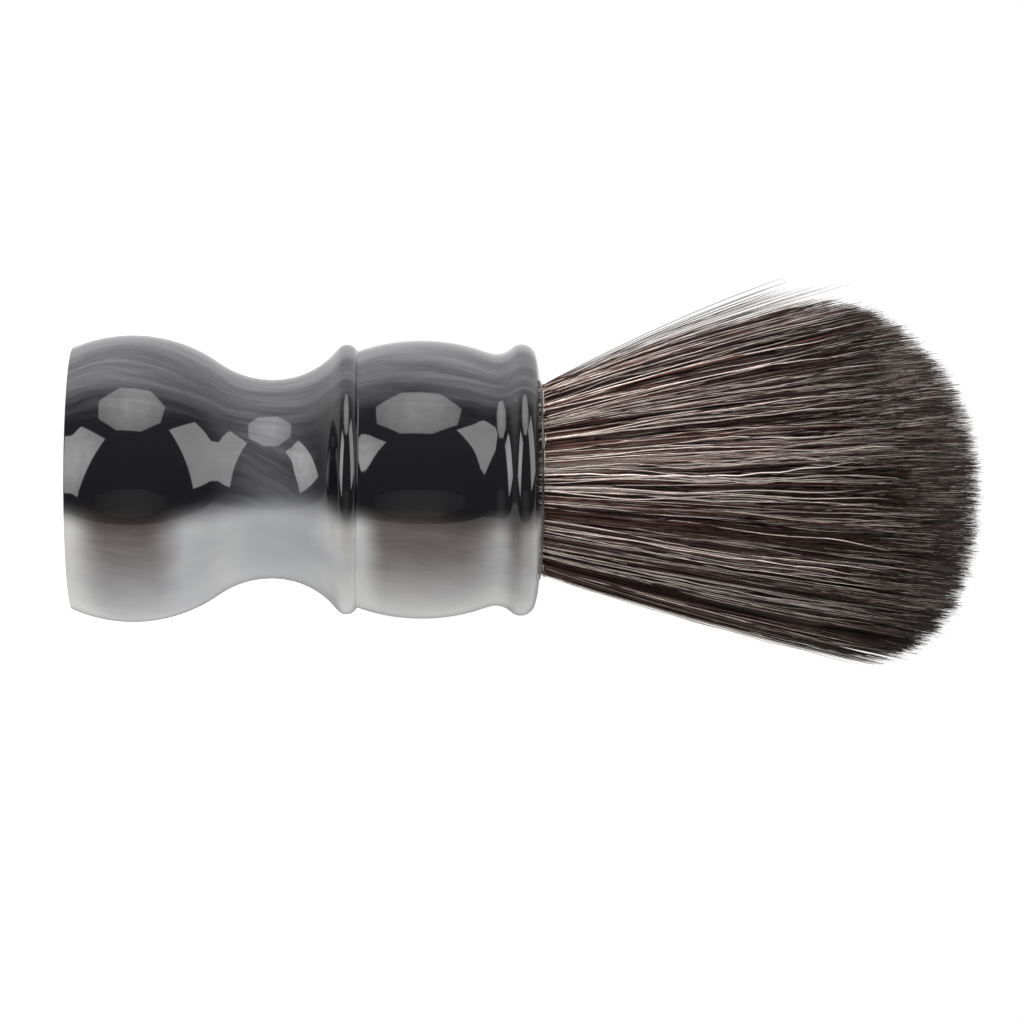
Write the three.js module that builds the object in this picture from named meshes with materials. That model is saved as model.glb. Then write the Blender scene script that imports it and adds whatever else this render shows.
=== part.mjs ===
// A shaving brush: a turned resin handle with a knot of synthetic fibre glued into its socket.
// Millimetres, +Z up. The brush stands on its flat base, and the origin is the centre of that base.
import * as THREE from "three";

// ---- Driving dimensions ----

// Handle, from the base up: foot bulge, waist, bead, barrel, neck cove and rim.
// z is where each one is widest or narrowest, crest or radius is how wide, and arc its round.
const BASE_EDGE_ROUND = 0.4;
const FOOT = { z: 7.5, crest: 17.87, arc: 18.6 };
const WAIST = { z: 24.8, radius: 12.4, upperArc: 10.4 };
const BEAD = { z: 34.05, crest: 16.85, arc: 1.45 };
const BARREL = { z: 43.4, crest: 17.35, arc: 24.5 };
const COVE = { z: 52.7, arc: 2.7 };
const RIM = { z: 55.8, arc: 1.8 };
const MOUTH = { z: 58.0, chamfer: 0.2 };

// Socket bored into the head of the handle, with the dimple that the drill's point leaves.
const SOCKET = { radius: 12.5, floor: 42, drill: 1.6, dimple: 1.2 };

// Gap left between neighbouring pieces.
const FIT = 0.1;

// Collar: the thin plastic ring that holds the fibre roots. Its lip stops just short of the mouth.
const COLLAR = { inner: 11.55, outer: 12.1, foot: 43.2, lip: 57.8 };

// Setting adhesive: a bed under the knot, a film round the collar, and a bead at the socket's mouth.
const BEAD_OF_GLUE = { reach: 0.15, rise: 0.12 };

// Potting resin, cast round the root ends, with the bump of glue that rises inside the knot.
const ROOT_FLOOR = 47.2;
const BUMP = { radius: 7.8, top: 61.5 };

// Binding thread, wound round the roots to tie them into a bundle.
const THREAD = { diameter: 0.5, pitch: 0.62, turns: 5, start: 49.6 };

// Tuft: tied in at the roots, it leaves the collar, flares in a straight line and ends in a dome.
const TIED_RADIUS = 10.3;
const ROOT_RADIUS = 11.4;
const FLARE = { z: 58.4, radius: 11.8, slope: 0.315, end: 88 };
const DOME = { z: 95.5, radius: 22.3, top: 113, squareness: 2.25 };

// Facets round each piece.
const HANDLE_FACETS = 56;
const INSIDE_FACETS = 40;
const TUFT_FACETS = 40;
const THREAD_SIDES = 6;
const THREAD_STEPS_A_TURN = 20;

// ---- Materials ----

const finish = (color, roughness) => new THREE.MeshStandardMaterial({ color, roughness, metalness: 0 });
const materials = {
  handle: finish(0x77777a, 0.08),
  adhesive: finish(0xb9ab8e, 0.2),
  collar: finish(0x1d1a19, 0.3),
  potting: finish(0x2a2523, 0.25),
  thread: finish(0xd8d2c4, 0.9),
  fibre: finish(0x3b2f2c, 0.5),
};

// ---- Outlines. A point's x is its distance from the axis, and its y is its height. ----

const point = (radius, z) => new THREE.Vector2(radius, z);

// The stretch of a circle between two heights, on its side away from the axis (1) or towards it (-1).
function arc(centre, radius, side, from, to, steps) {
  const angleAt = (z) => Math.asin(THREE.MathUtils.clamp((z - centre.y) / radius, -1, 1));
  const start = angleAt(from);
  const end = angleAt(to);
  return Array.from({ length: steps + 1 }, (_, i) => {
    const angle = THREE.MathUtils.lerp(start, end, i / steps);
    return point(centre.x + side * radius * Math.cos(angle), centre.y + radius * Math.sin(angle));
  });
}

// Where two circles touch from outside.
const touch = (a, radiusA, b, radiusB) => a.clone().lerp(b, radiusA / (radiusA + radiusB));

// Where two circles cross, furthest from the axis.
function crossing(a, radiusA, b, radiusB) {
  const apart = b.clone().sub(a);
  const length = apart.length();
  const along = (length ** 2 + radiusA ** 2 - radiusB ** 2) / (2 * length);
  const aside = point(-apart.y, apart.x).setLength(Math.sqrt(radiusA ** 2 - along ** 2));
  const middle = a.clone().addScaledVector(apart, along / length);
  const ends = [middle.clone().add(aside), middle.clone().sub(aside)];
  return ends[0].x > ends[1].x ? ends[0] : ends[1];
}

// The outside of the handle, from the edge of the base to the mouth of the socket.
function handleOutline() {
  const foot = point(FOOT.crest - FOOT.arc, FOOT.z);
  // Below its narrowest height, the waist's arc touches the foot's, which gives its radius.
  const rise = WAIST.z - FOOT.z;
  const reach = WAIST.radius - foot.x;
  const waistArc = (rise ** 2 + reach ** 2 - FOOT.arc ** 2) / (2 * (FOOT.arc - reach));
  const waist = point(WAIST.radius + waistArc, WAIST.z);
  const upperWaist = point(WAIST.radius + WAIST.upperArc, WAIST.z);
  const bead = point(BEAD.crest - BEAD.arc, BEAD.z);
  const barrel = point(BARREL.crest - BARREL.arc, BARREL.z);
  // The cove's arc touches the barrel's, and the rim's touches the cove's.
  const coveReach = Math.sqrt((BARREL.arc + COVE.arc) ** 2 - (COVE.z - BARREL.z) ** 2);
  const cove = point(barrel.x + coveReach, COVE.z);
  const rimReach = Math.sqrt((COVE.arc + RIM.arc) ** 2 - (RIM.z - COVE.z) ** 2);
  const rim = point(cove.x - rimReach, RIM.z);

  const footEnd = touch(foot, FOOT.arc, waist, waistArc).y;
  const beadStart = BEAD.z - BEAD.arc * 0.8;
  const beadEnd = crossing(bead, BEAD.arc, barrel, BARREL.arc).y;
  const barrelEnd = touch(barrel, BARREL.arc, cove, COVE.arc).y;
  const coveEnd = touch(cove, COVE.arc, rim, RIM.arc).y;
  const rimEnd = RIM.z + RIM.arc * 0.98;
  const bulge = arc(foot, FOOT.arc, 1, BASE_EDGE_ROUND, footEnd, 15);
  const edge = point(bulge[0].x - BASE_EDGE_ROUND, BASE_EDGE_ROUND);
  return [
    ...arc(edge, BASE_EDGE_ROUND, 1, 0, BASE_EDGE_ROUND * 0.3, 2),
    ...bulge,
    ...arc(waist, waistArc, -1, footEnd, WAIST.z, 8).slice(1),
    ...arc(upperWaist, WAIST.upperArc, -1, WAIST.z, beadStart, 7).slice(1),
    ...arc(bead, BEAD.arc, 1, beadStart, beadEnd, 6),
    ...arc(barrel, BARREL.arc, 1, beadEnd, barrelEnd, 8).slice(1),
    ...arc(cove, COVE.arc, -1, barrelEnd, coveEnd, 4).slice(1),
    ...arc(rim, RIM.arc, 1, coveEnd, rimEnd, 7).slice(1),
    point(SOCKET.radius + MOUTH.chamfer, MOUTH.z),
  ];
}

// The glue bump: half an ellipse that stands on the floor of the roots, grown outwards by a gap.
function bumpOutline(gap) {
  const steps = 8;
  return Array.from({ length: steps + 1 }, (_, i) => {
    const angle = (Math.PI / 2) * (i / steps);
    const height = BUMP.top - ROOT_FLOOR;
    return point((BUMP.radius + gap) * Math.cos(angle), ROOT_FLOOR + gap + height * Math.sin(angle));
  });
}

// The outside of the tuft above the collar: a straight flare, a shoulder, and a dome a little
// squarer than an ellipse.
function tuftOutline() {
  const flareEnd = point(FLARE.radius + FLARE.slope * (FLARE.end - FLARE.z), FLARE.end);
  const bend = point(DOME.radius, THREE.MathUtils.lerp(FLARE.end, DOME.z, 0.35));
  const shoulder = new THREE.QuadraticBezierCurve(flareEnd, bend, point(DOME.radius, DOME.z));
  const steps = 10;
  const dome = Array.from({ length: steps }, (_, i) => {
    const angle = (Math.PI / 2) * ((i + 1) / steps);
    const radius = DOME.radius * Math.cos(angle) ** (2 / DOME.squareness);
    return point(radius, DOME.z + (DOME.top - DOME.z) * Math.sin(angle) ** (2 / DOME.squareness));
  });
  dome[steps - 1].x = 0;
  return [point(FLARE.radius, FLARE.z), ...shoulder.getPoints(3), ...dome];
}

// ---- Pieces ----

// A solid of revolution about +Z.
function turned(outline, facets) {
  return new THREE.LatheGeometry(outline, facets).rotateX(Math.PI / 2);
}

function handle() {
  return turned([
    point(0, 0),
    ...handleOutline(),
    point(SOCKET.radius, MOUTH.z - MOUTH.chamfer),
    point(SOCKET.radius, SOCKET.floor),
    point(SOCKET.drill, SOCKET.floor),
    point(0, SOCKET.floor - SOCKET.dimple),
  ], HANDLE_FACETS);
}

function settingAdhesive() {
  const outside = SOCKET.radius - FIT;
  const inside = COLLAR.outer + FIT;
  const beadFoot = MOUTH.z + FIT;
  return turned([
    point(0, SOCKET.floor + FIT),
    point(outside, SOCKET.floor + FIT),
    point(outside, beadFoot),
    point(outside + BEAD_OF_GLUE.reach, beadFoot),
    point(outside + BEAD_OF_GLUE.reach * 0.6, beadFoot + BEAD_OF_GLUE.rise * 0.7),
    point(inside, beadFoot + BEAD_OF_GLUE.rise),
    point(inside, COLLAR.foot - FIT),
    point(0, COLLAR.foot - FIT),
  ], INSIDE_FACETS);
}

function knotCollar() {
  const round = (COLLAR.outer - COLLAR.inner) / 4;
  return turned([
    point(COLLAR.inner, COLLAR.foot),
    point(COLLAR.outer, COLLAR.foot),
    point(COLLAR.outer, COLLAR.lip - round),
    point(COLLAR.outer - round, COLLAR.lip),
    point(COLLAR.inner + round, COLLAR.lip),
    point(COLLAR.inner, COLLAR.lip - round),
    point(COLLAR.inner, COLLAR.foot),
  ], INSIDE_FACETS);
}

function pottingResin() {
  const radius = COLLAR.inner - FIT;
  return turned([
    point(0, COLLAR.foot),
    point(radius, COLLAR.foot),
    point(radius, ROOT_FLOOR - FIT),
    point(BUMP.radius, ROOT_FLOOR - FIT),
    ...bumpOutline(0).slice(0, -1),
    point(0, BUMP.top),
  ], INSIDE_FACETS);
}

// Turns of thread side by side, in a helix round the tied roots.
class Winding extends THREE.Curve {
  getPoint(t) {
    const angle = 2 * Math.PI * THREAD.turns * t;
    const radius = TIED_RADIUS + 2 * FIT + THREAD.diameter / 2;
    const z = THREAD.start + THREAD.pitch * THREAD.turns * t;
    return new THREE.Vector3(radius * Math.cos(angle), radius * Math.sin(angle), z);
  }
}

function bindingThread() {
  const radius = THREAD.diameter / 2;
  const section = new THREE.Shape(Array.from({ length: THREAD_SIDES }, (_, i) => {
    const angle = (2 * Math.PI * i) / THREAD_SIDES;
    return point(radius * Math.cos(angle), radius * Math.sin(angle));
  }));
  const steps = THREAD.turns * THREAD_STEPS_A_TURN;
  return new THREE.ExtrudeGeometry(section, { steps, extrudePath: new Winding() });
}

function bristleTuft() {
  const tiedFrom = THREAD.start - THREAD.diameter;
  const tiedTo = THREAD.start + THREAD.pitch * THREAD.turns + THREAD.diameter;
  const swell = 1.2;
  return turned([
    point(0, BUMP.top + FIT),
    ...bumpOutline(FIT).reverse().slice(1),
    point(ROOT_RADIUS, ROOT_FLOOR + FIT),
    point(TIED_RADIUS, tiedFrom),
    point(TIED_RADIUS, tiedTo),
    point(ROOT_RADIUS, tiedTo + swell),
    point(ROOT_RADIUS, COLLAR.lip),
    ...tuftOutline(),
  ], TUFT_FACETS);
}

// ---- Assembly ----

const pieces = {
  handle: [handle(), materials.handle],
  setting_adhesive: [settingAdhesive(), materials.adhesive],
  knot_collar: [knotCollar(), materials.collar],
  potting_resin: [pottingResin(), materials.potting],
  binding_thread: [bindingThread(), materials.thread],
  bristle_tuft: [bristleTuft(), materials.fibre],
};

const brush = new THREE.Group();
for (const [name, [geometry, material]] of Object.entries(pieces)) {
  const mesh = new THREE.Mesh(geometry, material);
  mesh.name = name;
  brush.add(mesh);
}

export default brush;
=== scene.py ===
"""Looks of a shaving brush: a marbled resin handle and a flared knot of fine synthetic fibre.

The brush stands on +Z with its base at z = 0. The camera lies level with it, on its side: the tips of
the fibre point to the right of the picture, +X points down and the camera looks along +Y.
"""
import math

import bmesh
import bpy
import numpy as np
from mathutils import Matrix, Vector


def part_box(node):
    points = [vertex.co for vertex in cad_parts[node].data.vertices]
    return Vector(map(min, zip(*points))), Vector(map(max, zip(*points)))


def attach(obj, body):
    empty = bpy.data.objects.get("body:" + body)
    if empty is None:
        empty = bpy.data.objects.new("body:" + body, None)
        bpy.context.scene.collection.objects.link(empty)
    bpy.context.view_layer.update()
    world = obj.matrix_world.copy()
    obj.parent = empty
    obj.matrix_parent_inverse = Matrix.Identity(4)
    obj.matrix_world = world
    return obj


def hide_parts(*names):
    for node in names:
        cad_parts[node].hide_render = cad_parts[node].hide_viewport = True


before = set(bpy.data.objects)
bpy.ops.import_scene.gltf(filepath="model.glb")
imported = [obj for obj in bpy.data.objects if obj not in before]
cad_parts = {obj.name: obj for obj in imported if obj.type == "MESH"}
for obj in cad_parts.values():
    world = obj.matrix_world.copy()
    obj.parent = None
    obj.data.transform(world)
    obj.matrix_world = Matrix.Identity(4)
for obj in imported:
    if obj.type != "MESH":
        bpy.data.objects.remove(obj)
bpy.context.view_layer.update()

MM = 0.001
BODY = "root"

# ---- Places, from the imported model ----

HANDLE_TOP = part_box("handle")[1].z
COLLAR_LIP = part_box("knot_collar")[1].z
COLLAR_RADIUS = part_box("knot_collar")[1].x
SOCKET_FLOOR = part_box("setting_adhesive")[0].z - 0.1 * MM
SOCKET_RADIUS = COLLAR_RADIUS + 0.4 * MM
TUFT_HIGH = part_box("bristle_tuft")[1]
TUFT_RADIUS = TUFT_HIGH.x
TUFT_TOP = TUFT_HIGH.z

# ---- Fibre: how the knot is laid out ----

SHOULDER_Z = TUFT_TOP - 17.5 * MM
DOME_SQUARENESS = 2.25
ROOT_RADIUS = COLLAR_RADIUS - 0.75 * MM
ROOT_DEPTH = 1.2 * MM
# How far the strands spill over the collar's lip.
SPILL = 0.15 * MM
# How far the dome's edge is below SHOULDER_Z at -X, and above it at +X.
LEAN = 3.3 * MM
SEED = 24

# ---- Camera ----

# How far the tips of the fibre are turned away from the camera, and how far they hang down in the picture.
CAMERA_TURN = math.radians(2.1)
CAMERA_ROLL = math.radians(0.19)


# ---- Mesh helpers ----


def new_mesh_object(name, vertices, faces, corners_a_face):
    """An object from arrays: vertices (n, 3) in metres, and faces (m, corners_a_face) of vertex numbers."""
    mesh = bpy.data.meshes.new(name)
    mesh.vertices.add(len(vertices))
    mesh.vertices.foreach_set("co", np.asarray(vertices, np.float32).ravel())
    mesh.loops.add(faces.size)
    mesh.loops.foreach_set("vertex_index", faces.astype(np.int32).ravel())
    mesh.polygons.add(len(faces))
    starts = np.arange(0, faces.size, corners_a_face, dtype=np.int32)
    mesh.polygons.foreach_set("loop_start", starts)
    mesh.polygons.foreach_set("use_smooth", np.ones(len(faces), bool))
    mesh.update(calc_edges=True)
    mesh.validate()
    piece = bpy.data.objects.new(name, mesh)
    bpy.context.scene.collection.objects.link(piece)
    return piece


def object_from_lists(name, vertices, faces):
    """A smooth-shaded object, for faces that don't all have the same number of corners."""
    mesh = bpy.data.meshes.new(name)
    mesh.from_pydata(vertices, [], faces)
    mesh.polygons.foreach_set("use_smooth", np.ones(len(mesh.polygons), bool))
    mesh.update()
    piece = bpy.data.objects.new(name, mesh)
    bpy.context.scene.collection.objects.link(piece)
    return piece


def placement(x_axis, y_axis, z_axis, origin):
    """The matrix of an object whose own axes lie along these, with its origin there."""
    rows = np.array([x_axis, y_axis, z_axis, origin]).T
    return Matrix([*rows.tolist(), [0, 0, 0, 1]])


def turned(name, outline, facets):
    """A closed solid turned about Z. outline holds (radius, z) pairs, and both ends are on the axis."""
    ring = np.asarray(outline[1:-1], float)
    angles = np.arange(facets) * 2 * math.pi / facets
    x = ring[:, :1] * np.cos(angles)
    y = ring[:, :1] * np.sin(angles)
    z = np.repeat(ring[:, 1:], facets, axis=1)
    body = np.stack([x, y, z], axis=2).reshape(-1, 3)
    ends = [[0, 0, outline[0][1]], [0, 0, outline[-1][1]]]
    vertices = np.vstack([body, ends])
    step = np.arange(facets)
    after = (step + 1) % facets
    faces = []
    for i in range(len(ring) - 1):
        low = i * facets
        high = low + facets
        faces += list(zip(low + step, low + after, high + after, high + step))
    first = len(body)
    last_ring = (len(ring) - 1) * facets
    faces += [(first, b, a) for a, b in zip(step, after)]
    faces += [(first + 1, last_ring + a, last_ring + b) for a, b in zip(step, after)]
    return object_from_lists(name, vertices.tolist(), [tuple(int(v) for v in face) for face in faces])


def turned_ring(name, outline, facets):
    """A closed ring about Z. outline holds (radius, z) pairs, up the outside and down the inside."""
    section = np.asarray(outline, float)
    count = len(section)
    angles = np.arange(facets) * 2 * math.pi / facets
    x = section[:, :1] * np.cos(angles)
    y = section[:, :1] * np.sin(angles)
    z = np.repeat(section[:, 1:], facets, axis=1)
    vertices = np.stack([x, y, z], axis=2).reshape(-1, 3)
    i, k = np.meshgrid(np.arange(count), np.arange(facets), indexing="ij")
    up, on = (i + 1) % count, (k + 1) % facets
    corners = [i * facets + k, i * facets + on, up * facets + on, up * facets + k]
    return new_mesh_object(name, vertices, np.stack(corners, axis=2).reshape(-1, 4), 4)


def spline(points, steps):
    """A smooth line through points, with steps pieces between each two (Catmull-Rom, by chord length)."""
    p = np.asarray(points, float)
    p = np.vstack([2 * p[0] - p[1], p, 2 * p[-1] - p[-2]])
    gaps = np.linalg.norm(np.diff(p, axis=0), axis=1)
    line = []
    for i in range(1, len(p) - 2):
        before, here, after = gaps[i - 1], gaps[i], gaps[i + 1]
        step = p[i + 1] - p[i]
        m0 = here * ((p[i] - p[i - 1]) / before - (p[i + 1] - p[i - 1]) / (before + here)) + step
        m1 = here * ((p[i + 2] - p[i + 1]) / after - (p[i + 2] - p[i]) / (here + after)) + step
        for t in np.arange(steps) / steps:
            a = 2 * t**3 - 3 * t**2 + 1
            b = t**3 - 2 * t**2 + t
            c = -2 * t**3 + 3 * t**2
            d = t**3 - t**2
            line.append(a * p[i] + b * m0 + c * p[i + 1] + d * m1)
    line.append(p[-2])
    return np.array(line)


# ---- Node helpers ----


def smooth_map(tree, value, low, high, at_low, at_high):
    """A smooth step from at_low, where value is low, to at_high, where it is high."""
    node = tree.nodes.new("ShaderNodeMapRange")
    node.interpolation_type = "SMOOTHSTEP"
    tree.links.new(value, node.inputs[0])
    for socket, v in zip(list(node.inputs)[1:5], (low, high, at_low, at_high)):
        socket.default_value = v
    return node.outputs[0]


class Graph:
    """Builds a material's nodes from short expressions. Every value is a socket or a plain number."""

    def __init__(self, name):
        self.material = bpy.data.materials.new(name)
        self.material.use_nodes = True
        self.tree = self.material.node_tree
        self.shader = self.tree.nodes["Principled BSDF"]

    def feed(self, socket, value):
        if isinstance(value, bpy.types.NodeSocket):
            self.tree.links.new(value, socket)
        else:
            socket.default_value = value

    def math(self, operation, a, b=0.0, c=0.0):
        node = self.tree.nodes.new("ShaderNodeMath")
        node.operation = operation
        for socket, value in zip(node.inputs, (a, b, c)):
            self.feed(socket, value)
        return node.outputs[0]

    def add(self, a, b):
        return self.math("ADD", a, b)

    def sub(self, a, b):
        return self.math("SUBTRACT", a, b)

    def mul(self, a, b):
        return self.math("MULTIPLY", a, b)

    def smooth(self, value, low, high):
        """0 where a socket is below low, 1 above high, and a smooth step between. low may be above high."""
        if low < high:
            return smooth_map(self.tree, value, low, high, 0.0, 1.0)
        return smooth_map(self.tree, value, high, low, 1.0, 0.0)

    def near(self, value, middle, far, close):
        """1 within close of middle, 0 further away than far, and a smooth step between."""
        return self.smooth(self.math("ABSOLUTE", self.sub(value, middle)), far, close)

    def place(self):
        """The object's own coordinates, in millimetres."""
        coordinates = self.tree.nodes.new("ShaderNodeTexCoord")
        scaled = self.tree.nodes.new("ShaderNodeVectorMath")
        scaled.operation = "SCALE"
        self.tree.links.new(coordinates.outputs["Object"], scaled.inputs[0])
        scaled.inputs["Scale"].default_value = 1 / MM
        return scaled.outputs[0]

    def split(self, vector):
        node = self.tree.nodes.new("ShaderNodeSeparateXYZ")
        self.tree.links.new(vector, node.inputs[0])
        return tuple(node.outputs)

    def vector(self, x, y, z):
        node = self.tree.nodes.new("ShaderNodeCombineXYZ")
        for socket, value in zip(node.inputs, (x, y, z)):
            self.feed(socket, value)
        return node.outputs[0]

    def noise(self, vector, scale, detail=2.0, roughness=0.5):
        node = self.tree.nodes.new("ShaderNodeTexNoise")
        self.feed(node.inputs["Vector"], vector)
        node.inputs["Scale"].default_value = scale
        node.inputs["Detail"].default_value = detail
        node.inputs["Roughness"].default_value = roughness
        return node.outputs[0]

    def mix(self, factor, a, b):
        node = self.tree.nodes.new("ShaderNodeMix")
        node.data_type = "RGBA"
        self.feed(node.inputs[0], factor)
        for socket, value in ((node.inputs[6], a), (node.inputs[7], b)):
            self.feed(socket, value if isinstance(value, bpy.types.NodeSocket) else (*value, 1.0))
        return node.outputs[2]

    def ramp(self, value, stops):
        """A colour ramp. stops holds (position, (r, g, b)) pairs."""
        node = self.tree.nodes.new("ShaderNodeValToRGB")
        self.feed(node.inputs[0], value)
        elements = node.color_ramp.elements
        while len(elements) < len(stops):
            elements.new(0.5)
        for element, (position, colour) in zip(elements, stops):
            element.position = position
            element.color = (*colour, 1.0)
        return node.outputs[0]

    def bump(self, height, distance, strength=1.0):
        node = self.tree.nodes.new("ShaderNodeBump")
        self.feed(node.inputs["Height"], height)
        node.inputs["Distance"].default_value = distance
        node.inputs["Strength"].default_value = strength
        self.tree.links.new(node.outputs[0], self.shader.inputs["Normal"])

    def set(self, **values):
        for name, value in values.items():
            socket = self.shader.inputs[name.replace("_", " ")]
            if isinstance(value, tuple):
                value = (*value, 1.0)
            self.feed(socket, value)


# ---- Materials ----

MILK = (0.45, 0.45, 0.445)
# The cool milk tone serves both the milk's clouds and painted shade round the waist.
MILK_CLOUD_AND_SHADE = (0.33, 0.335, 0.35)
# The whitest milk tone is painted reflection, at the foot and by the bead.
MILK_REFLECTION = (0.6, 0.595, 0.58)
SMOKE = (0.098, 0.098, 0.103)
SMOKE_DARK = (0.024, 0.024, 0.027)
BLACK = (0.006, 0.006, 0.007)
UMBER = (0.047, 0.029, 0.025)
SPECK = (0.2, 0.19, 0.18)

# Heights on the handle that the marbling, the painted shade on the milk and its painted reflection are laid
# out from, in millimetres.
WAIST = 24.5
BEAD = 34.5


class MarbledResin(Graph):
    """A black sheet runs down the front just under the skin, so the widest turnings cut into it and the
    waist only grazes it. Smoke lies above it, and milk below, under umber on the widest turnings."""

    def __init__(self):
        super().__init__("marbled_resin")
        self.here = self.place()
        self.x, self.y, self.z = self.split(self.here)
        self.radius = self.math("SQRT", self.add(self.mul(self.x, self.x), self.mul(self.y, self.y)))
        self.swirl = self.sub(self.noise(self.drawn_out(0.6), 0.07), 0.5)
        self.ripple = self.sub(self.noise(self.drawn_out(0.35), 0.3), 0.5)
        # Height on the side of the brush, up towards -X, the same along a line that follows the turnings.
        self.height = self.mul(self.math("DIVIDE", self.x, self.radius), -17.5)
        self.low = self.add(self.height, self.mul(self.swirl, 3.5))
        self.behind = self.smooth(self.y, -4.0, 9.0)
        layer = self.layer()
        self.broad = self.noise(self.flowing(layer, 0.42, 0.03, 0.035), 1.0, 2.0, 0.6)
        self.fine = self.noise(self.flowing(layer, 1.7, 0.12, 0.1), 1.0, 5.0, 0.8)
        broad_part = self.mul(self.smooth(self.broad, 0.3, 0.7), 0.55)
        fine_part = self.mul(self.smooth(self.fine, 0.25, 0.75), 0.45)
        self.streak = self.add(broad_part, fine_part)

    def drawn_out(self, squash):
        """A place for a noise that is drawn out along the handle."""
        return self.vector(self.x, self.y, self.mul(self.z, squash))

    def flowing(self, layer, across, inwards, along):
        """A place for a noise that follows the layers."""
        return self.vector(self.mul(layer, across), self.mul(self.y, inwards), self.mul(self.z, along))

    def layer(self):
        """How high a place is in the smoke's thin layers. They flow along the handle, tilted and wavy, and
        run aslant on the front of the waist."""
        layer = self.add(self.add(self.height, self.mul(self.y, 0.35)), self.mul(self.z, 0.045))
        slant = self.mul(self.near(self.z, WAIST, 9.0, 2.0), self.smooth(self.height, 12.0, 3.0))
        layer = self.add(layer, self.mul(self.mul(slant, self.sub(self.z, WAIST)), 0.75))
        return self.add(layer, self.add(self.mul(self.swirl, 5.0), self.mul(self.ripple, 2.2)))

    def milk(self):
        """The milk's colour: cool clouds and fine layers, darker round the waist with painted shade, and
        whiter at the foot and by the bead with painted reflection.
        """
        cloud = self.smooth(self.noise(self.drawn_out(0.6), 0.11, 3.0), 0.35, 0.7)
        cloud = self.add(self.mul(cloud, 0.75), self.mul(self.fine, 0.3))
        # Painted shade: round the waist the milk is mixed towards the cool tone, for the shade that falls
        # there.
        cloud = self.add(cloud, self.mul(self.near(self.z, WAIST + 1.0, 7.0, 2.0), 0.7))
        # Painted reflection: the milk is made whiter by the bead and at the foot, where the resin reflects
        # the white table.
        white = self.mul(self.near(self.z, BEAD, 4.5, 0.0), 0.35)
        white = self.add(self.smooth(self.z, 5.5, 0.0), white)
        return self.mix(self.mul(white, 0.8), self.mix(cloud, MILK, MILK_CLOUD_AND_SHADE), MILK_REFLECTION)

    def shell(self):
        """The radius, made wavy, that the outer layers start from. It is larger in the barrel, so that
        they start deeper there."""
        buried = self.mul(self.smooth(self.z, 33.0, 39.0), 0.8)
        buried = self.add(buried, self.mul(self.smooth(self.z, 48.0, 52.0), 0.4))
        buried = self.sub(buried, self.smooth(self.z, 54.0, 56.0))
        return self.add(self.radius, self.add(self.mul(self.ripple, 0.5), buried))

    def umber_skin(self, shell):
        """The umber that shows through on the lower half, on the widest turnings."""
        share = self.smooth(shell, 16.4, 17.8)
        lowest = self.add(self.low, self.mul(self.smooth(self.z, 35.0, 39.0), 1.5))
        share = self.mul(share, self.smooth(lowest, -18.5, -5.5))
        share = self.mul(share, self.smooth(self.low, 2.0, -1.0))
        share = self.mul(share, self.add(0.76, self.mul(self.fine, 0.3)))
        return self.mul(share, self.sub(1.0, self.mul(self.behind, 0.7)))

    def black_sheet(self, shell):
        """The black sheet. It comes up to the skin just above the bead."""
        shell = self.add(shell, self.mul(self.near(self.z, BEAD + 1.1, 3.4, 0.4), 0.75))
        reach = self.add(shell, self.add(self.ripple, self.mul(self.swirl, 1.6)))
        share = self.smooth(reach, 11.2, 15.3)
        top = self.add(self.height, self.mul(self.sub(self.streak, 0.5), 3.0))
        share = self.mul(share, self.smooth(top, 15.5, 7.0))
        foot = self.add(self.low, self.mul(shell, 0.6))
        foot = self.add(foot, self.mul(self.smooth(self.z, 44.0, 50.0), 1.2))
        share = self.mul(share, self.smooth(foot, 3.4, 7.6))
        return self.mul(share, self.sub(1.0, self.mul(self.behind, self.smooth(self.broad, 0.3, 0.6))))

    def specks(self):
        """Tiny pale specks in the resin."""
        cells = self.tree.nodes.new("ShaderNodeTexVoronoi")
        self.feed(cells.inputs["Vector"], self.here)
        cells.inputs["Scale"].default_value = 0.2
        return self.smooth(cells.outputs["Distance"], 0.024, 0.014)


def resin_material():
    g = MarbledResin()
    shell = g.shell()
    smoke = g.mix(g.streak, SMOKE_DARK, SMOKE)
    colour = g.mix(g.smooth(g.low, -7.2, -2.4), g.milk(), smoke)
    colour = g.mix(g.umber_skin(shell), colour, UMBER)
    colour = g.mix(g.black_sheet(shell), colour, BLACK)
    colour = g.mix(g.specks(), colour, SPECK)
    polish = g.noise(g.here, 1.4)
    g.set(Base_Color=colour, Roughness=g.add(0.03, g.mul(polish, 0.03)), IOR=1.5)
    return g.material


def fibre_material(name, tint_name):
    """Synthetic fibre: each strand's own tint, mottled along its length, with a soft gloss."""
    g = Graph(name)
    x, y, z = g.split(g.place())
    tint = g.tree.nodes.new("ShaderNodeAttribute")
    tint.attribute_name = tint_name
    mottle = g.noise(g.vector(g.mul(x, 3.0), g.mul(y, 3.0), g.mul(z, 0.35)), 1.0, 2.0)
    shade = g.mix(g.smooth(mottle, 0.3, 0.75), (0.72, 0.7, 0.7), (1.2, 1.17, 1.14))
    product = g.tree.nodes.new("ShaderNodeMix")
    product.data_type = "RGBA"
    product.blend_type = "MULTIPLY"
    product.inputs[0].default_value = 1.0
    g.feed(product.inputs[6], tint.outputs["Color"])
    g.feed(product.inputs[7], shade)
    g.set(Base_Color=product.outputs[2], Roughness=g.add(0.3, g.mul(mottle, 0.2)), IOR=1.5)
    g.shader.inputs["Specular IOR Level"].default_value = 0.2
    return g.material


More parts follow.
